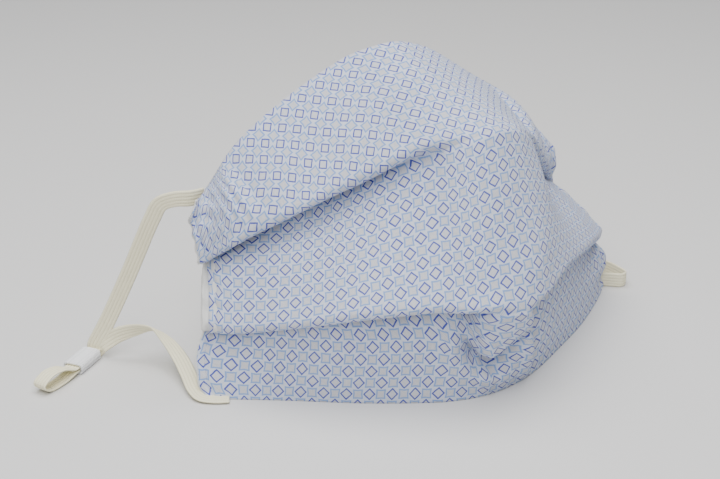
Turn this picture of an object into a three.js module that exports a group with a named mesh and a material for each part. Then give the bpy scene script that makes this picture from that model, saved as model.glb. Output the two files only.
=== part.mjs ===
// A pleated cloth face mask that stands on its bottom hem, with two adjustable ear loops.
// Millimetres. Seen from the front, +X runs from left to right along the cloth, +Y runs
// from the front of the mask into its hollow, and +Z is up. Left and right in the names
// are as seen from the front.
import * as THREE from 'three';

// Cloth sizes
const CLOTH_LENGTH = 218;
const PANEL = 26;
const PLEAT_DEPTH = 20.5;
const OUTER_THICKNESS = 1.0;
const LINING_THICKNESS = 1.0;
const LAYER_GAP = 0.3;
const LIP_RADIUS = 2.8;
const TUCK_RADIUS = 0.5;
const PRESSED_REACH = 7;
const OPENED_REACH = -16;

// Heights counted along the cloth from the bottom hem
const LOWER_TUCK = PANEL + PLEAT_DEPTH;
const UPPER_TUCK = 2 * LOWER_TUCK + PLEAT_DEPTH;
const CLOTH_HEIGHT = 3 * PANEL + 4 * PLEAT_DEPTH;

// Elastic and adjuster sizes
const BAND_WIDTH = 6.5;
const BAND_THICKNESS = 1.0;
const SLEEVE_LENGTH = 14;
const SLEEVE_WIDTH = 8.6;
const SLEEVE_HEIGHT = 4.6;
const SLEEVE_WALL_SIDE = 0.7;
const SLEEVE_WALL_FLAT = 0.8;
const UPPER_STRAND = 3.0;
const LOWER_STRAND = 1.6;

// One row per upright section of the mask, from its left side edge to its right.
// along: place along the cloth. foot, lower, upper and top: the bottom hem, the lips of
// the two pleats and the top hem. tuckLow and tuckUp: how far each pleat still reaches up
// behind its lip; a negative tuck has opened out below it, and -16 has opened flat.
const SECTIONS = [
  { along: 0, foot: [-95, 52], lower: [-91, 58, 25], upper: [-86, 67, 49], top: [-81, 79, 70], tuckLow: 19, tuckUp: 18 },
  { along: 13, foot: [-84, 45], lower: [-83, 48, 27], upper: [-77, 62, 56], top: [-75, 83, 73], tuckLow: 17, tuckUp: 14 },
  { along: 35, foot: [-66, 33], lower: [-68, 30, 33], upper: [-58, 49, 69], top: [-63, 82, 88], tuckLow: 13, tuckUp: 7 },
  { along: 61, foot: [-45, 18], lower: [-48, 13, 39], upper: [-37, 41, 79], top: [-42, 80, 103], tuckLow: 12, tuckUp: 4 },
  { along: 87, foot: [-23, 5], lower: [-26, -1, 42], upper: [-16, 31, 91], top: [-20, 77, 115], tuckLow: 9, tuckUp: 0 },
  { along: 109, foot: [-3, -1], lower: [-9, -11, 42], upper: [2, 21, 97], top: [-1, 70, 121], tuckLow: 6, tuckUp: -10 },
  { along: 131, foot: [18, 2], lower: [14, -10, 39], upper: [23, 23, 96], top: [21, 77, 113], tuckLow: 6, tuckUp: -14 },
  { along: 157, foot: [43, 14], lower: [43, 8, 40], upper: [43, 34, 84], top: [44, 80, 98], tuckLow: 12, tuckUp: -4 },
  { along: 183, foot: [65, 26], lower: [66, 24, 37], upper: [61, 48, 67], top: [64, 81, 85], tuckLow: 14, tuckUp: 7 },
  { along: 205, foot: [85, 40], lower: [84, 40, 31], upper: [75, 60, 55], top: [75, 82, 74], tuckLow: 17, tuckUp: 14 },
  { along: 218, foot: [98, 51], lower: [95, 52, 26], upper: [82, 65, 49], top: [80, 77, 70], tuckLow: 19, tuckUp: 18 },
];

// The elastics, one row per bend: at is the middle of the band and across its width
// direction. Each runs from the top corner through its adjuster, round the tip loop, back
// through the adjuster and on to the bottom corner.
const LEFT_ADJUSTER = { from: [-119, 105.3], to: [-130.2, 96.9] };
const RIGHT_ADJUSTER = { from: [91, 110], to: [86, 123.1] };
const LEFT_BAND = [
  { at: [-77.5, 83.5, 68.6], across: [0.3, 0.1, 1] },
  { at: [-83.5, 81.5, 68.8], across: [0.2, 0, 1] },
  { at: [-88, 82.5, 69], across: [0.3, -0.4, 0.8] },
  { at: [-92.5, 86, 67.5], across: [0.7, -0.5, 0.4] },
  { at: [-95.5, 89.5, 62], across: [0.85, -0.5, 0.1] },
  { at: [-104, 98, 36], across: [0.86, -0.5, 0] },
  { at: [-112.5, 104, 14], across: [0.8, -0.6, 0] },
  { at: [-117, 106.5, 4.6], across: [0.65, -0.75, 0] },
  { through: LEFT_ADJUSTER, level: UPPER_STRAND },
  { at: [-137, 92.6, 6], across: [0.5, -0.85, 0] },
  { at: [-143, 89.6, 6.6], across: [0.45, -0.9, 0] },
  { at: [-147, 87.8, 4], across: [0.42, -0.9, 0] },
  { at: [-144.5, 89, 1.1], across: [0.42, -0.9, 0] },
  { at: [-137, 92.6, 0.8], across: [0.5, -0.85, 0] },
  { through: LEFT_ADJUSTER, level: LOWER_STRAND, reversed: true },
  { at: [-115, 104.3, 4.7], across: [0.6, -0.75, 0.2] },
  { at: [-110, 101.5, 8.8], across: [0.35, -0.4, -0.85] },
  { at: [-104, 97.5, 11.6], across: [0.3, 0.1, -0.95] },
  { at: [-98.5, 91, 13], across: [0.6, 0.6, -0.5] },
  { at: [-95.5, 83.5, 12], across: [0.9, 0.35, -0.2] },
  { at: [-95.8, 74, 8.6], across: [1, 0, -0.05] },
  { at: [-98, 65.5, 4.9], across: [1, -0.1, 0] },
  { at: [-99.8, 58.5, 2.4], across: [0.97, 0.1, 0] },
  { at: [-99.6, 52, 1.3], across: [0.9, 0.35, 0] },
  { at: [-94.8, 46.4, 1], across: [0.6, 0.8, 0] },
  { at: [-86.5, 41.2, 0.9], across: [0.54, 0.84, 0] },
];
const RIGHT_BAND = [
  { at: [76, 85, 69.2], across: [-0.2, 0.1, 1] },
  { at: [79.5, 90.5, 66.5], across: [-0.7, 0.3, 0.6] },
  { at: [81.5, 94, 59], across: [-0.95, 0.3, 0.1] },
  { at: [85.5, 100, 34], across: [-0.95, 0.3, 0] },
  { at: [89.5, 105, 13], across: [-0.95, -0.2, 0] },
  { at: [91.6, 108, 4.8], across: [-0.93, -0.36, 0] },
  { through: RIGHT_ADJUSTER, level: UPPER_STRAND },
  { at: [83.6, 129.5, 6], across: [-0.93, -0.36, 0] },
  { at: [81.2, 135.5, 6.6], across: [-0.93, -0.36, 0] },
  { at: [79.7, 139.5, 4], across: [-0.93, -0.36, 0] },
  { at: [80.6, 137, 1.1], across: [-0.93, -0.36, 0] },
  { at: [83.6, 129.5, 0.8], across: [-0.93, -0.36, 0] },
  { through: RIGHT_ADJUSTER, level: LOWER_STRAND, reversed: true },
  { at: [93.5, 105, 2.6], across: [-0.85, -0.4, 0.4] },
  { at: [97.5, 96, 4], across: [-0.4, -0.2, 0.9] },
  { at: [102, 82, 4.2], across: [-0.1, 0, 1] },
  { at: [106.5, 68, 4.4], across: [0, 0, 1] },
  { at: [109.8, 58, 4.4], across: [0, 0, 1] },
  { at: [109.4, 52, 4.2], across: [0, 0, 1] },
  { at: [106, 50.6, 4], across: [0, 0, 1] },
  { at: [102.2, 53.6, 3.9], across: [0, 0, 1] },
  { at: [98.4, 57.2, 3.9], across: [0, 0, 1] },
  { at: [92.5, 54.6, 3.9], across: [0, 0, 1] },
];

// Vector helpers
const vec = (values) => new THREE.Vector3(values[0], values[1], values[2] ?? 0);
const mix = (a, b, share) => a.clone().lerp(b, share);
const spaced = (from, to, steps) => Array.from({ length: steps + 1 }, (_, i) => from + ((to - from) * i) / steps);

// Smooth value of one column of SECTIONS at a place along the cloth
function columnAt(column, along) {
  const last = SECTIONS.length - 1;
  let i = 0;
  while (i < last - 1 && along > SECTIONS[i + 1].along) i += 1;
  const value = (k) => column(SECTIONS[k]);
  const place = (k) => SECTIONS[k].along;
  const slope = (k) => {
    const before = Math.max(k - 1, 0);
    const after = Math.min(k + 1, last);
    return (value(after) - value(before)) / (place(after) - place(before));
  };
  const span = place(i + 1) - place(i);
  const t = (along - place(i)) / span;
  const rise = 3 * t * t - 2 * t * t * t;
  return value(i) * (1 - rise) + value(i + 1) * rise
    + span * (slope(i) * (t - 2 * t * t + t * t * t) + slope(i + 1) * (t * t * t - t * t));
}

function sectionAt(along) {
  const point = (name) => vec([0, 1, 2].map((axis) => columnAt((row) => row[name][axis] ?? 0, along)));
  return {
    foot: point('foot'),
    lower: point('lower'),
    upper: point('upper'),
    top: point('top'),
    tuckLow: columnAt((row) => row.tuckLow, along),
    tuckUp: columnAt((row) => row.tuckUp, along),
  };
}

// Level direction that points out of the mask at a place along the cloth
function outwardAt(along) {
  const reach = 2;
  const middle = (place) => {
    const s = sectionAt(place);
    return s.foot.add(s.lower).add(s.upper).add(s.top);
  };
  const run = middle(along + reach).sub(middle(along - reach));
  return new THREE.Vector3(run.y, -run.x, 0).normalize();
}

// Fold between two panels, from the top of the lower panel to the foot of the upper one.
// A pressed pleat turns half a circle at its lip and again at its tuck; as its reach falls
// below the least pressed one, both turns open together until the cloth runs straight.
function pleat(lip, above, reach, outward) {
  const rise = above.clone().sub(lip).normalize();
  const inward = outward.clone().negate().addScaledVector(rise, outward.dot(rise)).normalize();
  const closed = Math.min(Math.max((reach - OPENED_REACH) / (PRESSED_REACH - OPENED_REACH), 0.02), 1);
  const turn = Math.PI * closed;
  const flap = Math.max(reach, PRESSED_REACH) * closed;
  const place = (level, depth) => lip.clone().addScaledVector(rise, level).addScaledVector(inward, depth);
  const startLevel = LIP_RADIUS * Math.sin(Math.min(turn, Math.PI / 2));
  const lipArc = spaced(0, turn, 4).map((angle) => place(
    startLevel - LIP_RADIUS * Math.sin(angle), LIP_RADIUS * (1 - Math.cos(angle))));
  const flapLevel = startLevel - LIP_RADIUS * Math.sin(turn) - flap * Math.cos(turn);
  const flapDepth = LIP_RADIUS * (1 - Math.cos(turn)) + flap * Math.sin(turn);
  const tuckArc = spaced(turn, 0, 3).map((angle) => place(
    flapLevel - TUCK_RADIUS * (Math.sin(turn) - Math.sin(angle)),
    flapDepth + TUCK_RADIUS * (Math.cos(angle) - Math.cos(turn))));
  const tail = tuckArc.at(-1).clone().addScaledVector(rise, -Math.max(reach, 2) * closed - 1);
  const clothUsed = (LIP_RADIUS + TUCK_RADIUS) * turn + flap + tail.distanceTo(tuckArc.at(-1));
  return { foot: tail, path: [...lipArc, ...tuckArc].reverse(), head: lipArc[0], clothUsed };
}

// Stretch of cloth between two folds, bowed so that it is as long as the cloth that it takes
function bowed(from, to, clothLength, outward, steps) {
  const mostBow = 0.35;
  const chord = to.clone().sub(from);
  const length = chord.length();
  const slack = Math.min(Math.max(clothLength / length - 1, 0), mostBow);
  const bow = length * Math.sqrt(slack * 3 / 8);
  const side = outward.clone().addScaledVector(chord, -outward.dot(chord) / (length * length)).normalize();
  return spaced(0, 1, steps).map((t) => mix(from, to, t).addScaledVector(side, bow * 4 * t * (1 - t)));
}

// Outer face of the mask along one upright section, from the bottom hem to the top hem
function profileAt(along) {
  const s = sectionAt(along);
  const outward = outwardAt(along);
  const upAndOut = outward.clone().add(new THREE.Vector3(0, 0, 1.2)).normalize();
  const high = pleat(s.upper, s.top, s.tuckUp, outward);
  const low = pleat(s.lower, high.foot, s.tuckLow, outward);
  const bottomCloth = LOWER_TUCK - low.clothUsed / 2;
  const middleCloth = UPPER_TUCK - LOWER_TUCK - (low.clothUsed + high.clothUsed) / 2;
  const topCloth = CLOTH_HEIGHT - UPPER_TUCK - high.clothUsed / 2;
  return [
    ...bowed(s.foot, low.foot, bottomCloth, outward, 5),
    ...low.path,
    ...bowed(low.head, high.foot, middleCloth, outward, 7).slice(1),
    ...high.path,
    ...bowed(high.head, s.top, topCloth, upAndOut, 6).slice(1),
  ];
}

// Grid of the outer face, with the direction into the mask at each of its points
function clothFace(sections) {
  const spots = sections.map(profileAt);
  const rows = spots[0].length;
  const inward = spots.map((spot, i) => spot.map((point, j) => {
    const right = spots[Math.min(i + 1, spots.length - 1)][j].clone().sub(spots[Math.max(i - 1, 0)][j]);
    const above = spot[Math.min(j + 1, rows - 1)].clone().sub(point).normalize();
    const below = point.clone().sub(spot[Math.max(j - 1, 0)]).normalize();
    const rise = above.add(below);
    if (j === 0) rise.set(0, 0, 1);
    if (j === 0) right.setZ(0);
    return rise.cross(right).normalize();
  }));
  return { spots, inward };
}

// Closed body between two depths behind the outer face
function clothLayer(face, near, far) {
  const columns = face.spots.length;
  const rows = face.spots[0].length;
  const positions = [];
  for (const depth of [near, far]) {
    face.spots.forEach((spot, i) => spot.forEach((point, j) => {
      positions.push(...point.clone().addScaledVector(face.inward[i][j], depth).toArray());
    }));
  }
  const front = (i, j) => i * rows + j;
  const back = (i, j) => columns * rows + i * rows + j;
  const index = [];
  const quad = (a, b, c, d) => index.push(a, b, c, a, c, d);
  for (let i = 0; i < columns - 1; i += 1) {
    for (let j = 0; j < rows - 1; j += 1) {
      quad(front(i, j), front(i + 1, j), front(i + 1, j + 1), front(i, j + 1));
      quad(back(i, j), back(i, j + 1), back(i + 1, j + 1), back(i + 1, j));
    }
    quad(front(i, 0), back(i, 0), back(i + 1, 0), front(i + 1, 0));
    quad(front(i, rows - 1), front(i + 1, rows - 1), back(i + 1, rows - 1), back(i, rows - 1));
  }
  for (let j = 0; j < rows - 1; j += 1) {
    quad(front(0, j), front(0, j + 1), back(0, j + 1), back(0, j));
    quad(front(columns - 1, j), back(columns - 1, j), back(columns - 1, j + 1), front(columns - 1, j + 1));
  }
  return closedGeometry(positions, index);
}

function closedGeometry(positions, index) {
  const geometry = new THREE.BufferGeometry();
  geometry.setAttribute('position', new THREE.Float32BufferAttribute(positions, 3));
  geometry.setIndex(index);
  geometry.computeVertexNormals();
  return geometry;
}

// Rows of a band's route, with a pass through the adjuster worked out from its two ends
function bandRows(route) {
  return route.flatMap((row) => {
    if (!row.through) return [{ at: vec(row.at), across: vec(row.across) }];
    const from = vec([...row.through.from, row.level]);
    const to = vec([...row.through.to, row.level]);
    const run = to.clone().sub(from).normalize();
    const across = new THREE.Vector3(-run.y, run.x, 0);
    if (across.dot(new THREE.Vector3(Math.sign(-from.x), -1, 0)) < 0) across.negate();
    const places = spaced(-0.12, 1.12, 4).map((t) => ({ at: mix(from, to, t), across: across.clone() }));
    return row.reversed ? places.reverse() : places;
  });
}

// Flat elastic swept along its route, square across its run at each step
function band(route, steps) {
  const rows = bandRows(route);
  const path = new THREE.CatmullRomCurve3(rows.map((row) => row.at), false, 'centripetal');
  const widthway = new THREE.CatmullRomCurve3(rows.map((row) => row.across), false, 'centripetal');
  const positions = [];
  const corners = [[-1, -1], [1, -1], [1, 1], [-1, 1]];
  for (let i = 0; i <= steps; i += 1) {
    const t = i / steps;
    const at = path.getPoint(t);
    const run = path.getTangent(t);
    const across = widthway.getPoint(t);
    across.addScaledVector(run, -across.dot(run)).normalize();
    const face = run.clone().cross(across);
    for (const [side, level] of corners) {
      positions.push(...at.clone().addScaledVector(across, side * BAND_WIDTH / 2)
        .addScaledVector(face, level * BAND_THICKNESS / 2).toArray());
    }
  }
  const index = [0, 3, 2, 0, 2, 1];
  for (let i = 0; i < steps; i += 1) {
    for (let k = 0; k < 4; k += 1) {
      const a = i * 4 + k;
      const b = i * 4 + ((k + 1) % 4);
      index.push(a, b, b + 4, a, b + 4, a + 4);
    }
  }
  const last = steps * 4;
  index.push(last, last + 1, last + 2, last, last + 2, last + 3);
  return closedGeometry(positions, index);
}

// Adjuster: a short flat sleeve that lies level round both strands of the elastic
function sleeve(ends) {
  const outline = new THREE.Shape();
  const halfWidth = SLEEVE_WIDTH / 2;
  const corner = 0.9;
  outline.moveTo(-halfWidth + corner, 0);
  outline.lineTo(halfWidth - corner, 0);
  outline.lineTo(halfWidth, corner);
  outline.lineTo(halfWidth, SLEEVE_HEIGHT - corner);
  outline.lineTo(halfWidth - corner, SLEEVE_HEIGHT);
  outline.lineTo(-halfWidth + corner, SLEEVE_HEIGHT);
  outline.lineTo(-halfWidth, SLEEVE_HEIGHT - corner);
  outline.lineTo(-halfWidth, corner);
  outline.closePath();
  const slot = new THREE.Path();
  const slotHalf = halfWidth - SLEEVE_WALL_SIDE;
  slot.moveTo(-slotHalf, SLEEVE_WALL_FLAT);
  slot.lineTo(-slotHalf, SLEEVE_HEIGHT - SLEEVE_WALL_FLAT);
  slot.lineTo(slotHalf, SLEEVE_HEIGHT - SLEEVE_WALL_FLAT);
  slot.lineTo(slotHalf, SLEEVE_WALL_FLAT);
  slot.closePath();
  outline.holes.push(slot);
  const geometry = new THREE.ExtrudeGeometry(outline, { depth: SLEEVE_LENGTH, bevelEnabled: false });
  geometry.translate(0, 0, -SLEEVE_LENGTH / 2);
  geometry.rotateX(Math.PI / 2);
  const mesh = new THREE.Mesh(geometry, webbing);
  const from = vec(ends.from);
  const to = vec(ends.to);
  mesh.position.copy(mix(from, to, 0.5));
  mesh.rotation.z = Math.atan2(to.y - from.y, to.x - from.x) - Math.PI / 2;
  return mesh;
}

// Colours
const printedCotton = new THREE.MeshStandardMaterial({ color: 0xcdd7e6, roughness: 0.92, metalness: 0 });
const whiteCotton = new THREE.MeshStandardMaterial({ color: 0xeeeeec, roughness: 0.95, metalness: 0 });
const elastic = new THREE.MeshStandardMaterial({ color: 0xe3dfc6, roughness: 0.85, metalness: 0 });
const webbing = new THREE.MeshStandardMaterial({ color: 0xe9eaec, roughness: 0.8, metalness: 0 });

function named(name, mesh) {
  mesh.name = name;
  return mesh;
}

const SECTION_STEPS = 28;
const face = clothFace(spaced(0, CLOTH_LENGTH, SECTION_STEPS));
const liningNear = OUTER_THICKNESS + LAYER_GAP;
const mask = new THREE.Group();
mask.add(named('outer_cloth', new THREE.Mesh(clothLayer(face, 0, OUTER_THICKNESS), printedCotton)));
mask.add(named('lining', new THREE.Mesh(
  clothLayer(face, liningNear, liningNear + LINING_THICKNESS), whiteCotton)));
mask.add(named('ear_loop_left', new THREE.Mesh(band(LEFT_BAND, 90), elastic)));
mask.add(named('ear_loop_right', new THREE.Mesh(band(RIGHT_BAND, 90), elastic)));
mask.add(named('adjuster_left', sleeve(LEFT_ADJUSTER)));
mask.add(named('adjuster_right', sleeve(RIGHT_ADJUSTER)));

// The part's origin is in the middle of the outer cloth's bottom edge
const middle = SECTION_STEPS / 2;
const origin = face.spots[middle][0].clone().addScaledVector(face.inward[middle][0], OUTER_THICKNESS / 2);
mask.position.set(-origin.x, -origin.y, 0);

export default mask;
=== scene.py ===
"""Pleated cloth face mask with two adjustable ear loops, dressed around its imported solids.

The mask's surface is worked out from a short table of upright sections, as its solids are, and
every piece is built in metres in the frame of those solids.
"""

import logging
import math
from dataclasses import dataclass, field
from enum import Enum
from typing import Optional, Sequence, Union

import bpy
import numpy as np
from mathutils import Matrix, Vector


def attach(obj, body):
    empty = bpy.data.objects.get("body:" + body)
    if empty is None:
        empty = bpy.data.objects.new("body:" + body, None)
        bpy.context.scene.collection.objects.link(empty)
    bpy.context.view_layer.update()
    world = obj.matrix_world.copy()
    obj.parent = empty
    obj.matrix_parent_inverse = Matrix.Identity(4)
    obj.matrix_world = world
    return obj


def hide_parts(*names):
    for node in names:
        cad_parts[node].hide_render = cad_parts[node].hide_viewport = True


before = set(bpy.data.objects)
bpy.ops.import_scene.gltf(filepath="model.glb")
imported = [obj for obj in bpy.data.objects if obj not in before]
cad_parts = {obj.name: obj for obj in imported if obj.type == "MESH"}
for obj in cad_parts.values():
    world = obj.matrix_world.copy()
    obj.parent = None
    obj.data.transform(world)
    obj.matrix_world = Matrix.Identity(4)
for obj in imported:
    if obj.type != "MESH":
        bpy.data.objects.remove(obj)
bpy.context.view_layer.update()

LOG = logging.getLogger("face_mask")
MM = 0.001
ROOT_BODY = "root"

Row = tuple[float, ...]
Colour = tuple[float, float, float, float]
Link = Union[float, bpy.types.NodeSocket]


class Side(Enum):
    """The mask's two ends, as seen from the front."""

    LEFT = "left"
    RIGHT = "right"


class Sum(Enum):
    """Arithmetic that the shader groups use, by the name of its node setting."""

    ADD = "ADD"
    TAKE = "SUBTRACT"
    TIMES = "MULTIPLY"
    OVER = "DIVIDE"
    LARGER = "MAXIMUM"
    SIZE = "ABSOLUTE"
    SINE = "SINE"
    ROUND = "ROUND"


def unit(vectors: np.ndarray) -> np.ndarray:
    """Returns vectors of length one in the same directions."""
    return vectors / np.maximum(np.linalg.norm(vectors, axis=-1, keepdims=True), 1e-9)


@dataclass(frozen=True)
class SmoothTable:
    """A short table that is read with a smooth step from each row to the next."""

    places: Row
    values: Row

    def read(self, asked: np.ndarray) -> np.ndarray:
        """Reads the table at many places.

        Args:
            asked: The places to read.

        Returns:
            One value for each place asked.
        """
        row = np.interp(asked, self.places, np.arange(len(self.places)))
        before = np.minimum(row.astype(int), len(self.places) - 2)
        share = row - before
        share = share * share * (3 - 2 * share)
        table = np.array(self.values, float)
        return table[before] * (1 - share) + table[before + 1] * share


@dataclass(frozen=True)
class Section:
    """One upright section of the mask, in millimetres.

    along is its place along the cloth, counted from the left end. foot, lower, upper and top are
    the bottom hem, the lips of the two pleats and the top hem. tuck_low and tuck_up say how far
    each pleat still reaches up behind its lip, and are below zero where it opens. print_top,
    print_behind and print_lip count squares of the print from the top hem to the upper lip, to
    where the cloth comes out under it, and to the lower lip. print_bottom counts them from the
    bottom hem up to the lower lip.
    """

    along: float
    foot: Row
    lower: Row
    upper: Row
    top: Row
    tuck_low: float
    tuck_up: float
    print_top: float
    print_behind: float
    print_lip: float
    print_bottom: float

    def values(self) -> list[float]:
        """Returns the section's numbers in one row, without its place."""
        flat = [*self.foot, 0.0, *self.lower, *self.upper, *self.top]
        return flat + [self.tuck_low, self.tuck_up, self.print_top, self.print_behind,
                       self.print_lip, self.print_bottom]


# Each row gives the place along the cloth, the four lines that the cloth passes, how far the
# lower and the upper pleat reach up, and the four counts of squares, in the order of Section.
SECTIONS = (
    Section(0, (-95, 52), (-91, 58, 25), (-86, 67, 49), (-81, 79, 70), 19, 18, 6.0, 18.7, 24.5, 5.2),
    Section(13, (-84, 45), (-83, 48, 27), (-77, 62, 56), (-75, 83, 73), 17, 14, 7.0, 16.8, 24.4, 5.6),
    Section(35, (-66, 33), (-68, 30, 33), (-58, 49, 69), (-63, 82, 88), 13, 7, 8.6, 14.0, 24.4, 6.3),
    Section(61, (-45, 18), (-48, 13, 39), (-37, 41, 79), (-42, 80, 103), 12, 4, 10.3, 12.8, 24.7, 7.2),
    Section(87, (-23, 5), (-26, -1, 42), (-16, 31, 91), (-20, 77, 115), 9, -3, 11.8, 12.9, 25.2, 7.8),
    Section(98, (-13, 1), (-18, -7, 42), (-7, 25, 95), (-11, 73, 119), 6, -9, 11.7, 12.4, 25.8, 8.6),
    Section(109, (-3, -1), (-9, -11, 42), (2, 21, 97), (-1, 70, 121), -5, -13, 11.8, 12.3, 26.2, 9.65),
    Section(120, (7, -0.5), (2, -12, 40), (13, 21, 98), (10, 73, 118), -14, -14.5, 11.9, 12.3, 26.3, 10.2),
    Section(131, (18, 2), (14, -10, 39), (23, 23, 96), (21, 77, 113), -8, -15, 12.0, 12.4, 26.4, 9.5),
    Section(140, (27, 5.5), (24, -5, 39), (30, 26, 93), (29, 78, 108), 6, -13, 11.9, 12.4, 26.2, 8.0),
    Section(157, (43, 14), (43, 8, 40), (43, 34, 84), (44, 80, 98), 12, -8, 11.4, 12.6, 25.4, 7.6),
    Section(183, (65, 26), (66, 24, 37), (61, 48, 67), (64, 81, 85), 14, 5, 9.0, 14.1, 24.8, 7.0),
    Section(205, (85, 40), (84, 40, 31), (75, 60, 55), (75, 82, 74), 17, 13, 7.3, 16.8, 24.6, 6.0),
    Section(218, (98, 51), (95, 52, 26), (82, 65, 49), (80, 76, 67), 19, 17, 6.0, 18.7, 24.5, 5.2),
)


@dataclass(frozen=True)
class EdgePull:
    """How far the cloth and its lining reach past the left end's line, in millimetres.

    down is the place on the edge, down from the top hem.
    """

    down: float
    cloth: float
    lining: float


EDGE_PULLS = (
    EdgePull(down=0, cloth=1.5, lining=2.2),
    EdgePull(down=5, cloth=6.0, lining=6.6),
    EdgePull(down=10, cloth=5.4, lining=6.2),
    EdgePull(down=17, cloth=3.2, lining=4.2),
    EdgePull(down=24, cloth=1.8, lining=2.8),
    EdgePull(down=30, cloth=-0.4, lining=1.0),
    EdgePull(down=80, cloth=-0.6, lining=1.2),
    EdgePull(down=95, cloth=-1.6, lining=1.6),
    EdgePull(down=122, cloth=-1.2, lining=1.5),
    EdgePull(down=136, cloth=0.4, lining=1.3),
    EdgePull(down=147, cloth=3.6, lining=4.4),
    EdgePull(down=155, cloth=2.6, lining=3.2),
    EdgePull(down=161, cloth=-0.8, lining=0.0),
)


@dataclass(frozen=True)
class Crease:
    """One soft ridge of the cloth, or a hollow where height is negative, in millimetres.

    along and down give its middle, along the cloth and down from the top hem. reach and width are
    its half sizes, turn its angle from the cloth's length in degrees, and pitch the distance
    between gathers where it is a row of them.
    """

    along: float
    down: float
    reach: float
    width: float
    turn: float
    height: float
    pitch: float = 0.0

    def lift(self, along: np.ndarray, down: np.ndarray) -> np.ndarray:
        """Works out how far the crease lifts the cloth.

        Args:
            along: Places along the cloth.
            down: Places down from the top hem.

        Returns:
            The lift at each place, in millimetres.
        """
        angle = math.radians(self.turn)
        east = along - self.along
        south = down - self.down
        lengthways = east * math.cos(angle) + south * math.sin(angle)
        across = south * math.cos(angle) - east * math.sin(angle)
        shape = np.exp(-(lengthways / self.reach) ** 2 - (across / self.width) ** 2)
        if self.pitch:
            shape = shape * np.cos(2 * math.pi * across / self.pitch)
        return self.height * shape


@dataclass(frozen=True)
class EdgePlace:
    """One place on a hanging edge, with the depth of the hollow under it, in millimetres."""

    along: float
    down: float
    depth: float


@dataclass(frozen=True)
class HangingEdge:
    """An edge where the cloth above hangs over a hollow in the cloth below, in millimetres.

    drop says how soon below the edge the hollow is deep, and fade how far below it the cloth comes
    out again.
    """

    places: tuple[EdgePlace, ...]
    drop: float = 0.5
    fade: float = 11.0

    def lift(self, along: np.ndarray, down: np.ndarray) -> np.ndarray:
        """Works out how far the hollow lifts the cloth, which is below zero.

        Args:
            along: Places along the cloth.
            down: Places down from the top hem.

        Returns:
            The lift at each place, in millimetres.
        """
        starts = tuple(place.along for place in self.places)
        edge = SmoothTable(starts, tuple(place.down for place in self.places)).read(along)
        depth = SmoothTable(starts, tuple(place.depth for place in self.places)).read(along)
        below = np.maximum(down - edge, 0)
        return -depth * (1 - np.exp(-below / self.drop)) * np.exp(-(below / self.fade) ** 2)


CREASES = (
    # The seams of the two side hems, with the puckers beside them.
    Crease(along=2.9, down=80, reach=0.9, width=400, turn=0, height=-1.0),
    Crease(along=215.1, down=80, reach=0.9, width=400, turn=0, height=-1.0),
    Crease(along=2.5, down=80, reach=4.5, width=400, turn=0, height=0.45, pitch=7.3),
    Crease(along=215.5, down=80, reach=4.5, width=400, turn=0, height=0.45, pitch=7.9),
    # Gathers and slanting folds at the two top corners.
    Crease(along=19, down=15, reach=12, width=7, turn=84, height=0.8, pitch=3.7),
    Crease(along=10, down=10, reach=9, width=6, turn=55, height=0.8, pitch=6.5),
    Crease(along=203, down=16, reach=14, width=9, turn=98, height=0.6, pitch=5.8),
    Crease(along=30, down=27, reach=26, width=5, turn=-28, height=1.3),
    Crease(along=62, down=38, reach=34, width=7, turn=-24, height=1.2),
    # Hollows under the two lips.
    Crease(along=28, down=66, reach=34, width=9, turn=-16, height=-4.5),
    Crease(along=76, down=128, reach=26, width=6, turn=0, height=-3.0),
    # Folds round the pocket under the lower lip.
    Crease(along=108, down=112, reach=14, width=3, turn=0, height=1.2),
    Crease(along=102, down=121, reach=13, width=4.5, turn=4, height=-3.2),
    Crease(along=121, down=124, reach=8, width=6, turn=-30, height=1.4),
    Crease(along=105, down=141, reach=7, width=4.5, turn=8, height=-5.0),
    Crease(along=94, down=137, reach=8, width=4, turn=60, height=2.2),
    Crease(along=110, down=151, reach=12, width=4, turn=10, height=2.4),
    # Slanting folds to the right of the middle.
    Crease(along=132, down=100, reach=20, width=9, turn=-35, height=1.4),
    Crease(along=150, down=70, reach=26, width=10, turn=-60, height=1.3),
    Crease(along=176, down=92, reach=22, width=12, turn=-20, height=0.8),
    # The right end stands out below and lies back at its top corner.
    Crease(along=222, down=94, reach=46, width=15, turn=0, height=3.2),
    Crease(along=222, down=146, reach=20, width=7, turn=0, height=6.0),
    Crease(along=221, down=16, reach=20, width=18, turn=0, height=-4.6),
    # Slow waves of the bottom and the top panel.
    Crease(along=150, down=150, reach=18, width=9, turn=15, height=1.0),
    Crease(along=48, down=150, reach=24, width=9, turn=-6, height=0.9),
    Crease(along=150, down=22, reach=20, width=12, turn=35, height=1.2),
    Crease(along=96, down=20, reach=26, width=10, turn=-15, height=0.9),
)

POCKET_EDGE = HangingEdge((
    EdgePlace(along=98, down=133, depth=0.0),
    EdgePlace(along=106, down=138, depth=4.0),
    EdgePlace(along=113, down=139, depth=9.0),
    EdgePlace(along=120, down=133, depth=9.0),
    EdgePlace(along=127, down=127, depth=7.0),
    EdgePlace(along=131, down=121, depth=4.5),
    EdgePlace(along=135, down=117, depth=0.0),
))


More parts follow.
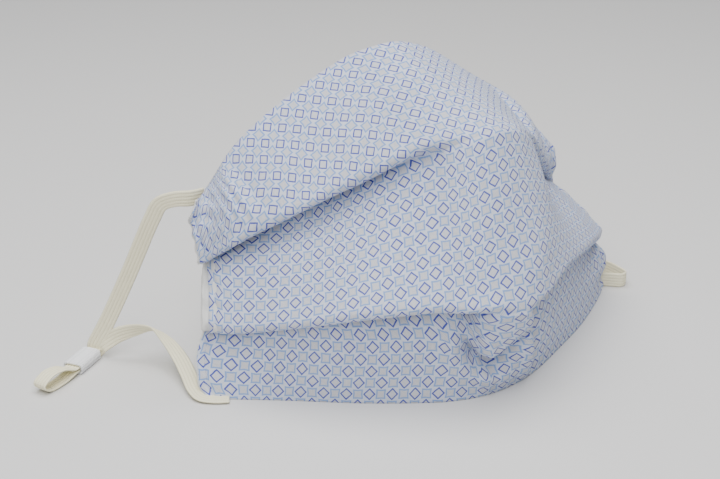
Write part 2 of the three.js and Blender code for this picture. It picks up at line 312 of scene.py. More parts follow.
@dataclass
class ClothSurface:
    """The mask's outer face as a grid of points, with the fabric's own coordinates on it.

    Lengths are in millimetres. A pleat is folded flat where it reaches up behind its lip by
    pressed_reach, and opens out smoothly until, at opened_reach, hardly a fold is left. The
    gather tables say where the print's columns crowd together, print_start where the first of
    them starts, and slip how far the print slides along the cloth towards the right.
    """

    sections: tuple[Section, ...] = SECTIONS
    creases: tuple[Union[Crease, HangingEdge], ...] = (*CREASES, POCKET_EDGE)
    length: float = 218.0
    panel: float = 26.0
    pleat_depth: float = 20.5
    lip_radius: float = 2.8
    tuck_radius: float = 0.5
    pressed_reach: float = 7.0
    opened_reach: float = -16.0
    print_square: float = 4.36
    print_squares_high: float = 36.83
    gathered_cloth: float = 17.4
    outer_half: float = 0.5
    least_closed: float = 0.02
    most_seen_turn: float = 1.4
    top_slant: float = 1.2
    fine_end: float = 24.0
    fine_step: float = 0.6
    bottom_steps: int = 48
    middle_steps: int = 34
    top_steps: int = 30
    lift_tilt: SmoothTable = SmoothTable((0, 45, 115, 161), (1, 1, 0, 0))
    gather_slant: float = 0.35
    gather_along: SmoothTable = SmoothTable((0, 12, 26, 298), (1, 1, 0, 0))
    gather_down: SmoothTable = SmoothTable((0, 10, 26, 36, 161), (1, 1, 0.5, 0, 0))
    print_start: SmoothTable = SmoothTable((0, 80, 124, 138, 161), (0.0, -0.3, -0.3, -3.4, -1.6))
    slip_along: Row = (0, 87, 109, 131, 150, 218)
    slip: Row = (0, 0, -1.6, -4.6, -6, -6)
    height: float = field(init=False)
    upper_tuck: float = field(init=False)
    points: np.ndarray = field(init=False)
    along: np.ndarray = field(init=False)
    down: np.ndarray = field(init=False)
    origin: np.ndarray = field(init=False)

    def __post_init__(self) -> None:
        """Builds the grid when the surface is made."""
        self.height = 3 * self.panel + 4 * self.pleat_depth
        self.upper_tuck = 2 * self.panel + 3 * self.pleat_depth
        places = self.columns()
        profiles = [self.profile(place) for place in places]
        smooth = np.stack([points for points, _ in profiles])
        self.down = np.stack([down for _, down in profiles])
        self.along = np.repeat(places[:, None], smooth.shape[1], axis=1)
        self.origin = self.middle_foot()
        level = np.stack([self.outward_at(place) for place in places])
        # A column's points all lift much the same way, so a tight fold never turns over.
        tilt = self.lift_tilt.read(self.down)
        outward = unit(level[:, None] + tilt[:, :, None] * np.array([0, 0, 1.0]))
        lift = sum(crease.lift(self.along, self.down) for crease in self.creases)
        self.points = smooth + outward * lift[:, :, None] - self.origin

    def columns(self) -> np.ndarray:
        """Returns the grid's places along the cloth, closer together at its gathered ends."""
        near = np.arange(0, self.fine_end, self.fine_step)
        middle = np.arange(self.fine_end, self.length - self.fine_end)
        return np.concatenate([near, middle, (self.length - near)[::-1]])

    def at(self, place: float) -> np.ndarray:
        """Works out the section between those of the table, on a smooth curve through them.

        Args:
            place: Place along the cloth.

        Returns:
            The section's numbers, in the order of Section.values.
        """
        places = np.array([section.along for section in self.sections], float)
        table = np.array([section.values() for section in self.sections], float)
        last = len(places) - 1
        before = np.maximum(np.arange(last + 1) - 1, 0)
        after = np.minimum(np.arange(last + 1) + 1, last)
        slopes = (table[after] - table[before]) / (places[after] - places[before])[:, None]
        i = int(np.clip(np.searchsorted(places, place) - 1, 0, last - 1))
        span = places[i + 1] - places[i]
        t = (place - places[i]) / span
        rise = 3 * t * t - 2 * t ** 3
        leave = t - 2 * t * t + t ** 3
        arrive = t ** 3 - t * t
        return (table[i] * (1 - rise) + table[i + 1] * rise
                + span * (slopes[i] * leave + slopes[i + 1] * arrive))

    def outward_at(self, place: float, reach: float = 2.0) -> np.ndarray:
        """Works out which way the mask faces.

        Args:
            place: Place along the cloth.
            reach: How far to each side the cloth's run is measured.

        Returns:
            The level direction that points out of the mask there.
        """
        middles = [self.at(place + step)[:12].reshape(4, 3).sum(axis=0) for step in (-reach, reach)]
        run = middles[1] - middles[0]
        return unit(np.array([run[1], -run[0], 0.0]))

    def middle_foot(self) -> np.ndarray:
        """Returns the middle of the cloth wall's bottom edge, where the solids' origin is."""
        step = self.length / 28
        run = self.at(self.length / 2 + step)[:3] - self.at(self.length / 2 - step)[:3]
        return self.at(self.length / 2)[:3] + unit(np.array([-run[1], run[0], 0.0])) * self.outer_half

    def pleat(self, lip: np.ndarray, above: np.ndarray, reach: float,
              outward: np.ndarray) -> tuple[np.ndarray, float]:
        """Folds the cloth at one lip.

        Args:
            lip: The fold's outermost place.
            above: Where the panel above the fold leads.
            reach: How far the pleat reaches up behind its lip.
            outward: The level direction out of the mask.

        Returns:
            The points from the top of the panel below to the foot of the panel above, and the
            length of cloth that they use by the solids' own rule.
        """
        rise = unit(above - lip)
        inward = unit(outward @ rise * rise - outward)
        closed = self.closed(reach)
        turn = math.pi * closed
        flap = max(reach, self.pressed_reach) * closed
        start = self.lip_radius * math.sin(min(turn, math.pi / 2))
        lip_turns = np.linspace(0, turn, 13)
        lip_level = start - self.lip_radius * np.sin(lip_turns)
        lip_depth = self.lip_radius * (1 - np.cos(lip_turns))
        flap_level = lip_level[-1] - flap * math.cos(turn)
        flap_depth = lip_depth[-1] + flap * math.sin(turn)
        tuck_turns = np.linspace(turn, 0, 7)
        tuck_level = flap_level - self.tuck_radius * (math.sin(turn) - np.sin(tuck_turns))
        tuck_depth = flap_depth + self.tuck_radius * (np.cos(tuck_turns) - math.cos(turn))
        tail = max(reach, 2) * closed + 1
        level = [lip_level, np.linspace(lip_level[-1], flap_level, 6)[1:-1], tuck_level,
                 np.linspace(tuck_level[-1], tuck_level[-1] - tail, 5)[1:]]
        depth = [lip_depth, np.linspace(lip_depth[-1], flap_depth, 6)[1:-1], tuck_depth,
                 np.full(4, tuck_depth[-1])]
        levels = np.concatenate(level)[::-1]
        depths = np.concatenate(depth)[::-1]
        points = lip + levels[:, None] * rise + depths[:, None] * inward
        return points, (self.lip_radius + self.tuck_radius) * turn + flap + tail

    def profile(self, place: float) -> tuple[np.ndarray, np.ndarray]:
        """Works out one upright section of the outer face.

        Args:
            place: Place along the cloth, in millimetres.

        Returns:
            The points from the bottom hem to the top hem, and how far down the fabric from its
            top hem each of them is.
        """
        row = self.at(place)
        foot, lower, upper, top = row[:12].reshape(4, 3)
        tuck_low, tuck_up, print_top, print_behind, print_lip, print_bottom = row[12:]
        outward = self.outward_at(place)
        up_and_out = unit(outward + np.array([0, 0, self.top_slant]))
        high, high_used = self.pleat(upper, top, tuck_up, outward)
        low, _ = self.pleat(lower, high[0], tuck_low, outward)
        bottom_cloth = (print_bottom - 1) * self.print_square
        top_cloth = self.height - self.upper_tuck - high_used / 2
        # The middle panel is pulled straight between the two pleats, so it has no spare cloth.
        pieces = [bowed(foot, low[0], bottom_cloth, outward, self.bottom_steps), low[1:-1],
                  bowed(low[-1], high[0], 0.0, outward, self.middle_steps), high[1:-1],
                  bowed(high[-1], top, top_cloth, up_and_out, self.top_steps)]
        cell = self.print_square
        foot_down = self.print_squares_high * cell
        marks = [foot_down, foot_down - print_bottom * cell, print_lip * cell,
                 print_behind * cell, print_top * cell, 0.0]
        counts = np.cumsum([0] + [len(piece) for piece in pieces])
        points = np.concatenate(pieces)
        run = np.concatenate([[0], np.cumsum(np.linalg.norm(np.diff(points, axis=0), axis=1))])
        low_rim = run[counts[2]] - self.visible_rim(tuck_low)
        high_rim = run[counts[4]] - self.visible_rim(tuck_up)
        stops = [run[0], run[counts[1] - 1], low_rim, run[counts[3] - 1], high_rim, run[-1]]
        return points, np.interp(run, stops, marks)

    def printed_along(self) -> np.ndarray:
        """Returns where the print's columns lie, which crowd together in the corner's gathers."""
        near_end = self.gather_along.read(self.along + self.gather_slant * self.down)
        near_top = self.gather_down.read(self.down)
        slip = np.interp(self.along, self.slip_along, self.slip)
        shift = self.print_start.read(self.down) + slip
        return self.along + shift - self.gathered_cloth * near_end * near_top

    def closed(self, reach: float) -> float:
        """Returns how far a pleat is folded, from hardly at all to 1 where it is folded flat."""
        spread = (reach - self.opened_reach) / (self.pressed_reach - self.opened_reach)
        return min(max(spread, self.least_closed), 1)

    def visible_rim(self, reach: float) -> float:
        """Returns how much cloth of a lip's round edge is seen from in front and above."""
        return self.lip_radius * min(math.pi * self.closed(reach), self.most_seen_turn)

    @staticmethod
    def inward(points: np.ndarray) -> np.ndarray:
        """Works out the direction into the mask over a grid.

        Args:
            points: The grid of points, column by column along the cloth.

        Returns:
            A direction of length one for each point. It is level along the bottom hem.
        """
        right = np.gradient(points, axis=0)
        step = np.diff(points, axis=1)
        step = step / np.maximum(np.linalg.norm(step, axis=2, keepdims=True), 1e-9)
        rise = np.concatenate([step[:, :1], step[:, 1:] + step[:, :-1], step[:, -1:]], axis=1)
        rise[:, 0] = (0, 0, 1)
        right[:, 0, 2] = 0
        return unit(np.cross(rise, right))


def bowed(start: np.ndarray, end: np.ndarray, cloth: float, outward: np.ndarray,
          steps: int, most_bow: float = 0.35) -> np.ndarray:
    """Bows a panel between two folds until it is as long as its cloth.

    Args:
        start: Its lower end.
        end: Its upper end.
        cloth: The length of cloth in it.
        outward: The direction that it bows to.
        steps: How many stretches it is drawn in.
        most_bow: The most spare cloth that it takes, as a share of its length.

    Returns:
        The points from its lower to its upper end.
    """
    chord = end - start
    length = float(np.linalg.norm(chord))
    slack = min(max(cloth / length - 1, 0), most_bow)
    side = unit(outward - outward @ chord / length ** 2 * chord)
    t = np.linspace(0, 1, steps + 1)[:, None]
    return start + chord * t + side * length * math.sqrt(slack * 3 / 8) * 4 * t * (1 - t)


def mesh_object(name: str, points: np.ndarray, faces: Sequence[Sequence[int]],
                uv: Optional[np.ndarray] = None) -> bpy.types.Object:
    """Makes a smooth shaded object from points in millimetres.

    Args:
        name: The object's name.
        points: One row of x, y and z for each point.
        faces: The corners of each face.
        uv: One row of fabric coordinates for each point, in millimetres.

    Returns:
        The new object, linked to the scene.
    """
    mesh = bpy.data.meshes.new(name)
    mesh.from_pydata((points * MM).tolist(), [], [list(face) for face in faces])
    if uv is not None:
        layer = mesh.uv_layers.new(name="cloth")
        corners = np.empty(len(mesh.loops), np.int32)
        mesh.loops.foreach_get("vertex_index", corners)
        layer.data.foreach_set("uv", uv[corners].astype(np.float32).ravel())
    mesh.polygons.foreach_set("use_smooth", [True] * len(mesh.polygons))
    mesh.update()
    made = bpy.data.objects.new(name, mesh)
    bpy.context.scene.collection.objects.link(made)
    return made


def settle(piece: bpy.types.Object, slot: str, *nodes: str) -> None:
    """Rides a piece on the mask's one body, hides the solids that it replaces and reports it.

    Args:
        piece: The finished object.
        slot: The material slot's name; it is not used.
        *nodes: The solids that the piece replaces.
    """
    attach(piece, ROOT_BODY)
    if nodes:
        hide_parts(*nodes)
    LOG.info("%s: %d faces", piece.name, len(piece.data.polygons))


@dataclass
class ClothLayer:
    """One thin layer of the mask's fabric, a wall between two depths behind the outer face.

    pulls says how far its left edge reaches out at each place of EDGE_PULLS, and pull_reach how
    far from the edge that fades, in millimetres.
    """

    surface: ClothSurface
    name: str
    near: float
    far: float
    pulls: tuple[float, ...]
    pull_reach: float = 11.0

    def pulled(self) -> np.ndarray:
        """Returns the surface's points with the left end pulled out or in along its edge."""
        surface = self.surface
        places = tuple(pull.down for pull in EDGE_PULLS)
        pull = SmoothTable(places, self.pulls).read(surface.down)
        fade = np.exp(-(surface.along / self.pull_reach) ** 2)
        leftward = -unit(np.gradient(surface.points, axis=0)[:1])
        return surface.points + leftward * (pull * fade)[:, :, None]

    def build(self, finish: bpy.types.Material) -> bpy.types.Object:
        """Builds the layer as a closed thin wall.

        Args:
            finish: The fabric's material.

        Returns:
            The layer's object.
        """
        grid = self.pulled()
        inward = ClothSurface.inward(grid)
        columns, rows = grid.shape[:2]
        walls = [grid + inward * depth for depth in (self.near, self.far)]
        points = np.concatenate([wall.reshape(-1, 3) for wall in walls])
        # The hem rests on the floor, so a wall that leans keeps out of it.
        points[:, 2] = np.maximum(points[:, 2], 0)
        number = np.arange(columns * rows).reshape(columns, rows)
        a, b = number[:-1, :-1].ravel(), number[1:, :-1].ravel()
        c, d = number[1:, 1:].ravel(), number[:-1, 1:].ravel()
        back = columns * rows
        faces = [np.stack([a, b, c, d], axis=1), np.stack([a, d, c, b], axis=1) + back]
        for rim in (number[:, 0][::-1], number[:, -1], number[0], number[-1][::-1]):
            faces.append(np.stack([rim[:-1], rim[1:], rim[1:] + back, rim[:-1] + back], axis=1))
        fabric = np.stack([self.surface.printed_along(), self.surface.down], axis=2).reshape(-1, 2)
        piece = mesh_object(self.name, points, np.concatenate(faces).tolist(), np.tile(fabric, (2, 1)))
        piece.data.materials.append(finish)
        return piece


@dataclass(frozen=True)
class Adjuster:
    """Where a sleeve lies: the two ends of its middle line on the surface below."""

    start: Row
    end: Row


@dataclass(frozen=True)
class Bend:
    """One bend of an elastic: the middle of the band and the direction across its width."""

    at: Row
    across: Row


@dataclass(frozen=True)
class Pass:
    """One straight pass of an elastic through its adjuster, at a level above the surface."""

    level: float
    backwards: bool = False


@dataclass
class EarLoop:
    """An elastic of one side, from the top corner through its adjuster to the bottom corner.

    Sizes are in millimetres. past_sleeve says how far a straight pass runs on past each end of
    the sleeve, as a share of the sleeve's length.
    """

    side: Side
    adjuster: Adjuster
    route: tuple[Union[Bend, Pass], ...]
    origin: np.ndarray
    width: float = 6.5
    thickness: float = 1.0
    ribs: int = 5
    rib_height: float = 0.09
    edge_power: int = 6
    past_sleeve: float = 0.12
    pass_places: int = 5
    steps: int = 300

    def bends(self) -> tuple[np.ndarray, np.ndarray]:
        """Returns the route's middles and width directions, with the passes worked out."""
        middles: list[np.ndarray] = []
        widthways: list[np.ndarray] = []
        for row in self.route:
            if isinstance(row, Bend):
                middles.append(np.array(row.at, float))
                widthways.append(np.array(row.across, float))
                continue
            start = np.array([*self.adjuster.start, row.level], float)
            end = np.array([*self.adjuster.end, row.level], float)
            run = unit(end - start)
            across = np.array([-run[1], run[0], 0.0])
            if across @ np.array([math.copysign(1, -start[0]), -1, 0]) < 0:
                across = -across
            shares = np.linspace(-self.past_sleeve, 1 + self.past_sleeve, self.pass_places)
            places = [start + (end - start) * share for share in shares]
            middles += places[::-1] if row.backwards else places
            widthways += [across] * len(places)
        return np.array(middles), np.array(widthways)

    def section(self) -> np.ndarray:
        """Returns the band's ribbed outline, as rows of width and thickness, once round."""
        half_width, half_thick = self.width / 2, self.thickness / 2
        across = np.linspace(-1, 1, self.ribs * 4 + 1)
        edge = np.sqrt(1 - np.abs(across) ** self.edge_power)
        rib = np.cos(math.pi * self.ribs * across) * (-1) ** (self.ribs + 1)
        level = (half_thick - self.rib_height + self.rib_height * rib) * edge
        face = np.stack([across * half_width, level], axis=1)
        return np.concatenate([face, (face * (1, -1))[-2:0:-1]])[::-1]

    def build(self, finish: bpy.types.Material) -> bpy.types.Object:
        """Sweeps the ribbed outline along the route.

        Args:
            finish: The elastic's material.

        Returns:
            The elastic's object.
        """
        middles, widthways = self.bends()
        t = np.linspace(0, 1, self.steps + 1)
        path = centripetal(middles, t)
        run = unit(np.gradient(path, axis=0))
        across = centripetal(widthways, t)
        across = unit(across - (across * run).sum(axis=1, keepdims=True) * run)
        face = np.cross(run, across)
        outline = self.section()
        sides = len(outline)
        points = (path[:, None] + across[:, None] * outline[None, :, :1]
                  + face[:, None] * outline[None, :, 1:]).reshape(-1, 3) - self.origin
        length = np.concatenate([[0], np.cumsum(np.linalg.norm(np.diff(path, axis=0), axis=1))])
        uv = np.stack([np.tile(outline[:, 0], len(t)), np.repeat(length, sides)], axis=1)
        faces = tube_faces(len(t), sides)
        piece = mesh_object(f"elastic_{self.side.value}", points, faces, uv)
        piece.data.materials.append(finish)
        return piece


def tube_faces(rings: int, sides: int) -> list[list[int]]:
    """Lays the faces of a tube over its rings of points.

    Args:
        rings: How many rings it has.
        sides: How many points each ring has.

    Returns:
        The corners of each face, with one face to close each end.
    """
    first = np.arange(rings * sides).reshape(rings, sides)
    a, d = first[:-1], first[1:]
    b, c = np.roll(a, -1, axis=1), np.roll(d, -1, axis=1)
    walls = np.stack([a, b, c, d], axis=2).reshape(-1, 4).tolist()
    return walls + [first[0][::-1].tolist(), first[-1].tolist()]


def centripetal(knots: np.ndarray, t: np.ndarray) -> np.ndarray:
    """Draws a smooth curve through knots, each stretch taking an equal share of t.

    Args:
        knots: One row for each knot.
        t: Places along the curve, from 0 to 1.

    Returns:
        One point of the curve for each place.
    """
    ends = np.concatenate([[2 * knots[0] - knots[1]], knots, [2 * knots[-1] - knots[-2]]])
    stretch = t * (len(knots) - 1)
    i = np.minimum(stretch.astype(int), len(knots) - 2)
    share = (stretch - i)[:, None]
    gaps = np.sqrt(np.maximum(np.linalg.norm(np.diff(ends, axis=0), axis=1), 1e-4))
    before, here, after = gaps[i][:, None], gaps[i + 1][:, None], gaps[i + 2][:, None]
    p0, p1, p2, p3 = ends[i], ends[i + 1], ends[i + 2], ends[i + 3]
    leave = ((p1 - p0) / before - (p2 - p0) / (before + here) + (p2 - p1) / here) * here
    arrive = ((p2 - p1) / here - (p3 - p1) / (here + after) + (p3 - p2) / after) * here
    return (p1 + leave * share + (3 * (p2 - p1) - 2 * leave - arrive) * share ** 2
            + (2 * (p1 - p2) + leave + arrive) * share ** 3)


LEFT_ADJUSTER = Adjuster((-119, 105.3), (-130.2, 96.9))
RIGHT_ADJUSTER = Adjuster((91, 110), (86, 123.1))
LEFT_ROUTE = (
    # From the top corner down to the adjuster.
    Bend((-77.5, 83.5, 68.6), (-0.2, 0, -1)),
    Bend((-83.5, 82, 69.2), (-0.1, 0, -1)),
    Bend((-89, 84, 69.3), (0.25, -0.1, -0.95)),
    Bend((-93.5, 87.5, 67), (0.65, -0.38, -0.6)),
    Bend((-96, 90, 61), (0.86, -0.5, -0.15)),
    Bend((-104, 98, 36), (0.86, -0.5, 0)),
    Bend((-112.5, 104, 14), (0.8, -0.6, 0)),
    Bend((-117, 106.5, 4.6), (0.65, -0.75, 0)),
    # Through it, round the far turn and back under itself.
    Pass(3.0),
    Bend((-137, 92.6, 6), (0.5, -0.85, 0)),
    Bend((-143, 89.6, 6.6), (0.45, -0.9, 0)),
    Bend((-147, 87.8, 4), (0.42, -0.9, 0)),
    Bend((-144.5, 89, 1.1), (0.42, -0.9, 0)),
    Bend((-137, 92.6, 0.8), (0.5, -0.85, 0)),
    Pass(1.6, backwards=True),
    # On to the bottom corner.
    Bend((-115, 104.3, 4.7), (0.6, -0.75, 0.2)),
    Bend((-110, 101.5, 8.8), (0.35, -0.4, -0.85)),
    Bend((-104, 97.5, 11.6), (0.3, 0.1, -0.95)),
    Bend((-98.2, 92, 13.2), (0.5, 0.6, -0.6)),
    Bend((-95.4, 84.2, 10.8), (0.9, 0.4, -0.2)),
    Bend((-94.7, 74, 7.4), (1, 0, 0)),
    Bend((-95.6, 64.5, 4.4), (1, -0.1, 0)),
    Bend((-96.6, 57.5, 2.2), (0.97, 0.1, 0)),
    Bend((-96, 52.4, 1.1), (0.85, 0.45, 0)),
    Bend((-92.4, 49, 0.8), (0.5, 0.85, 0)),
    Bend((-87.5, 46.5, 0.8), (0.45, 0.88, 0)),
)
RIGHT_ROUTE = (
    # From the top corner down to the adjuster.
    Bend((76, 85, 69.2), (-0.2, 0.1, 1)),
    Bend((79.5, 90.5, 66.5), (-0.7, 0.3, 0.6)),
    Bend((81.5, 94, 59), (-0.95, 0.3, 0.1)),
    Bend((85.5, 100, 34), (-0.95, 0.3, 0)),
    Bend((89.5, 105, 13), (-0.95, -0.2, 0)),
    Bend((91.6, 108, 4.8), (-0.93, -0.36, 0)),
    # Through it, round the far turn and back under itself.
    Pass(3.0),
    Bend((83.6, 129.5, 6), (-0.93, -0.36, 0)),
    Bend((81.2, 135.5, 6.6), (-0.93, -0.36, 0)),
    Bend((79.7, 139.5, 4), (-0.93, -0.36, 0)),
    Bend((80.6, 137, 1.1), (-0.93, -0.36, 0)),
    Bend((83.6, 129.5, 0.8), (-0.93, -0.36, 0)),
    Pass(1.6, backwards=True),
    # On to the bottom corner.
    Bend((93.5, 105, 2.6), (-0.85, -0.4, 0.4)),
    Bend((97.5, 96, 4), (-0.4, -0.2, 0.9)),
    Bend((102, 80, 4.0), (-0.1, 0, 1)),
    Bend((105.5, 64, 3.6), (0, 0, 1)),
    Bend((107, 53, 3.4), (0, 0, 1)),
    Bend((106.4, 46.8, 3.4), (0, 0, 1)),
    Bend((103.4, 45.6, 3.4), (0, 0, 1)),
    Bend((100, 48, 3.4), (0, 0, 1)),
    Bend((96.5, 51, 3.4), (0, 0, 1)),
    Bend((92, 52.6, 3.6), (0, 0, 1)),
)


@dataclass
class Sleeve:
    """The short ribbed tube that slides on both strands of an elastic, in millimetres.

    widths_round is the way once round it, counted in its own widths.
    """

    side: Side
    adjuster: Adjuster
    origin: np.ndarray
    length: float = 14.0
    width: float = 8.6
    height: float = 4.6
    wall: float = 0.75
    ribs: int = 15
    rib_height: float = 0.16
    rib_steps: int = 6
    corner_power: float = 0.5
    widths_round: float = 2.4
    sides: int = 40

    def ring(self, inset: float) -> np.ndarray:
        """Draws the tube's outline, a flat box with round corners.

        Args:
            inset: How far the outline lies inside the tube's full size.

        Returns:
            Rows of width and level, once round.
        """
        turn = np.linspace(0, 2 * math.pi, self.sides, endpoint=False)
        half = np.array([self.width / 2 - inset, self.height / 2 - inset])
        corner = np.stack([np.cos(turn), np.sin(turn)], axis=1)
        return np.sign(corner) * np.abs(corner) ** self.corner_power * half + (0, self.height / 2)

    def build(self, finish: bpy.types.Material) -> bpy.types.Object:
        """Builds the tube, ribbed outside and smooth inside, open at both ends.

        Args:
            finish: The sleeve's material.

        Returns:
            The sleeve's object.
        """
        start = np.array([*self.adjuster.start, 0.0], float)
        end = np.array([*self.adjuster.end, 0.0], float)
        run = unit(end - start)
        across = np.array([-run[1], run[0], 0.0])
        middle = (start + end) / 2
        shares = np.linspace(0, 1, self.ribs * self.rib_steps + 1)
        grooves = self.rib_height * (1 - np.abs(np.sin(math.pi * self.ribs * shares)))
        # The rings run along the outside and back along the inside, and the last meets the first.
        places = [*(self.length * (shares - 0.5)), self.length / 2, -self.length / 2]
        insets = [*grooves, self.wall, self.wall]
        rings = [self.placed(self.ring(inset), place, middle, run, across)
                 for inset, place in zip(insets, places)]
        points = np.concatenate(rings) - self.origin
        turn = np.tile(np.linspace(0, self.width * self.widths_round, self.sides), len(rings))
        uv = np.stack([turn, np.repeat(places, self.sides)], axis=1)
        here = np.arange(len(rings) * self.sides).reshape(len(rings), self.sides)
        after = np.roll(here, -1, axis=0)
        faces = np.stack([here, np.roll(here, -1, axis=1), np.roll(after, -1, axis=1), after], axis=2)
        piece = mesh_object(f"sleeve_{self.side.value}", points, faces.reshape(-1, 4).tolist(), uv)
        piece.data.materials.append(finish)
        return piece

    @staticmethod
    def placed(outline: np.ndarray, place: float, middle: np.ndarray, run: np.ndarray,
               across: np.ndarray) -> np.ndarray:
        """Stands an outline at its place along the sleeve.

        Args:
            outline: Rows of width and level.
            place: How far it stands from the sleeve's middle.
            middle: The sleeve's middle, on the surface below.
            run: The direction along the sleeve.
            across: The level direction across it.

        Returns:
            The outline's points.
        """
        up = np.array([0.0, 0.0, 1.0])
        return middle + run * place + outline[:, :1] * across + outline[:, 1:] * up


class Wiring:
    """Adds shader nodes to one tree and links them."""

    def __init__(self, tree: bpy.types.NodeTree) -> None:
        """Keeps the tree that the nodes go into."""
        self.tree = tree

    def node(self, kind: str, **settings: object) -> bpy.types.Node:
        """Adds a node.

        Args:
            kind: Blender's name for the kind of node.
            **settings: The node's own settings, by name.

        Returns:
            The new node.
        """
        made = self.tree.nodes.new(kind)
        for name, value in settings.items():
            setattr(made, name, value)
        return made

    def feed(self, socket: bpy.types.NodeSocket, value: object) -> None:
        """Gives an input what it reads.

        Args:
            socket: The input.
            value: An output to link it to, or a value to set.
        """
        if isinstance(value, bpy.types.NodeSocket):
            self.tree.links.new(value, socket)
        else:
            socket.default_value = value

    def sum(self, kind: Sum, first: Link, second: Link = 0.0) -> bpy.types.NodeSocket:
        """Adds one step of arithmetic.

        Args:
            kind: What is done.
            first: The first value.
            second: The second value, where the step takes one.

        Returns:
            The output with its result.
        """
        made = self.node("ShaderNodeMath", operation=kind.value)
        self.feed(made.inputs[0], first)
        self.feed(made.inputs[1], second)
        return made.outputs[0]

    def soft_step(self, value: Link, start: float, end: float, low: float = 1.0,
                  high: float = 0.0) -> bpy.types.NodeSocket:
        """Turns a value into a mask that passes smoothly from low to high.

        Args:
            value: The value that the mask follows.
            start: Where the mask starts to change.
            end: Where it stops.
            low: The mask up to the start.
            high: The mask from the end on.

        Returns:
            The output with the mask.
        """
        made = self.node("ShaderNodeMapRange", interpolation_type="SMOOTHSTEP")
        for name, fed in zip(("Value", "From Min", "From Max", "To Min", "To Max"),
                             (value, start, end, low, high)):
            self.feed(made.inputs[name], fed)
        return made.outputs["Result"]

    def inverse(self, value: Link) -> bpy.types.NodeSocket:
        """Returns one over a value."""
        return self.sum(Sum.OVER, 1.0, value)

    def blend(self, share: Link, first: object, second: object,
              way: str = "MIX") -> bpy.types.NodeSocket:
        """Mixes two colours.

        Args:
            share: How much of the second colour is taken.
            first: The first colour.
            second: The second colour.
            way: Blender's name for the way of mixing.

        Returns:
            The output with the mixed colour.
        """
        made = self.node("ShaderNodeMix", data_type="RGBA", blend_type=way)
        self.feed(made.inputs["Factor"], share)
        colours = [socket for socket in made.inputs if socket.type == "RGBA"]
        self.feed(colours[0], first)
        self.feed(colours[1], second)
        return next(socket for socket in made.outputs if socket.type == "RGBA")


def linear(red: float, green: float, blue: float) -> Colour:
    """Returns a colour seen on a screen, from 0 to 255, in the shaders' linear values."""
    shares = [value / 255 for value in (red, green, blue)]
    return (*[v / 12.92 if v <= 0.04045 else ((v + 0.055) / 1.055) ** 2.4 for v in shares], 1.0)


def shader_group(name: str, inputs: dict[str, object],
                 outputs: Sequence[str]) -> tuple[bpy.types.NodeTree, Wiring, dict, dict]:
    """Starts a shader node group with named sockets.

    Args:
        name: The group's name.
        inputs: Each input's name and first value; a tuple makes it a vector.
        outputs: The names of the outputs, each of them one number.

    Returns:
        The group, its wiring, its input sockets and its output sockets by name.
    """
    tree = bpy.data.node_groups.new(name, "ShaderNodeTree")
    for title, value in inputs.items():
        kind = "NodeSocketVector" if isinstance(value, tuple) else "NodeSocketFloat"
        socket = tree.interface.new_socket(name=title, in_out="INPUT", socket_type=kind)
        socket.default_value = value
    for title in outputs:
        tree.interface.new_socket(name=title, in_out="OUTPUT", socket_type="NodeSocketFloat")
    wiring = Wiring(tree)
    entry = wiring.node("NodeGroupInput")
    leave = wiring.node("NodeGroupOutput")
    return (tree, wiring, {title: entry.outputs[title] for title in inputs},
            {title: leave.inputs[title] for title in outputs})


def weave_group() -> bpy.types.NodeTree:
    """Builds the plain weave: threads that pass over and under each other, a little uneven.

    Returns:
        The node group.
    """
    slub_size = 1.1
    slub_depth = 4.0
    tree, wires, given, out = shader_group(
        "plain weave", {"Fabric": (0.0, 0.0, 0.0), "Thread Pitch": 0.5, "Unevenness": 0.35},
        ("Height", "Shade"))
    split = wires.node("ShaderNodeSeparateXYZ")
    wires.feed(split.inputs[0], given["Fabric"])
    turns = wires.sum(Sum.TIMES, 2 * math.pi, wires.inverse(given["Thread Pitch"]))
    warp = wires.sum(Sum.SINE, wires.sum(Sum.TIMES, split.outputs["X"], turns))
    weft = wires.sum(Sum.SINE, wires.sum(Sum.TIMES, split.outputs["Y"], turns))
    cross = wires.sum(Sum.TIMES, warp, weft)
    slub = wires.node("ShaderNodeTexNoise", noise_dimensions="2D")
    wires.feed(slub.inputs["Vector"], given["Fabric"])
    wires.feed(slub.inputs["Scale"], slub_size)
    wires.feed(slub.inputs["Detail"], 3.0)
    rough = wires.sum(Sum.TIMES, wires.sum(Sum.TAKE, slub.outputs[0], 0.5), given["Unevenness"])
    threads = wires.sum(Sum.TIMES, cross, 0.5)
    wires.feed(out["Height"], wires.sum(Sum.ADD, threads, wires.sum(Sum.TIMES, rough, slub_depth)))
    wires.feed(out["Shade"], wires.sum(Sum.ADD, threads, rough))
    return tree


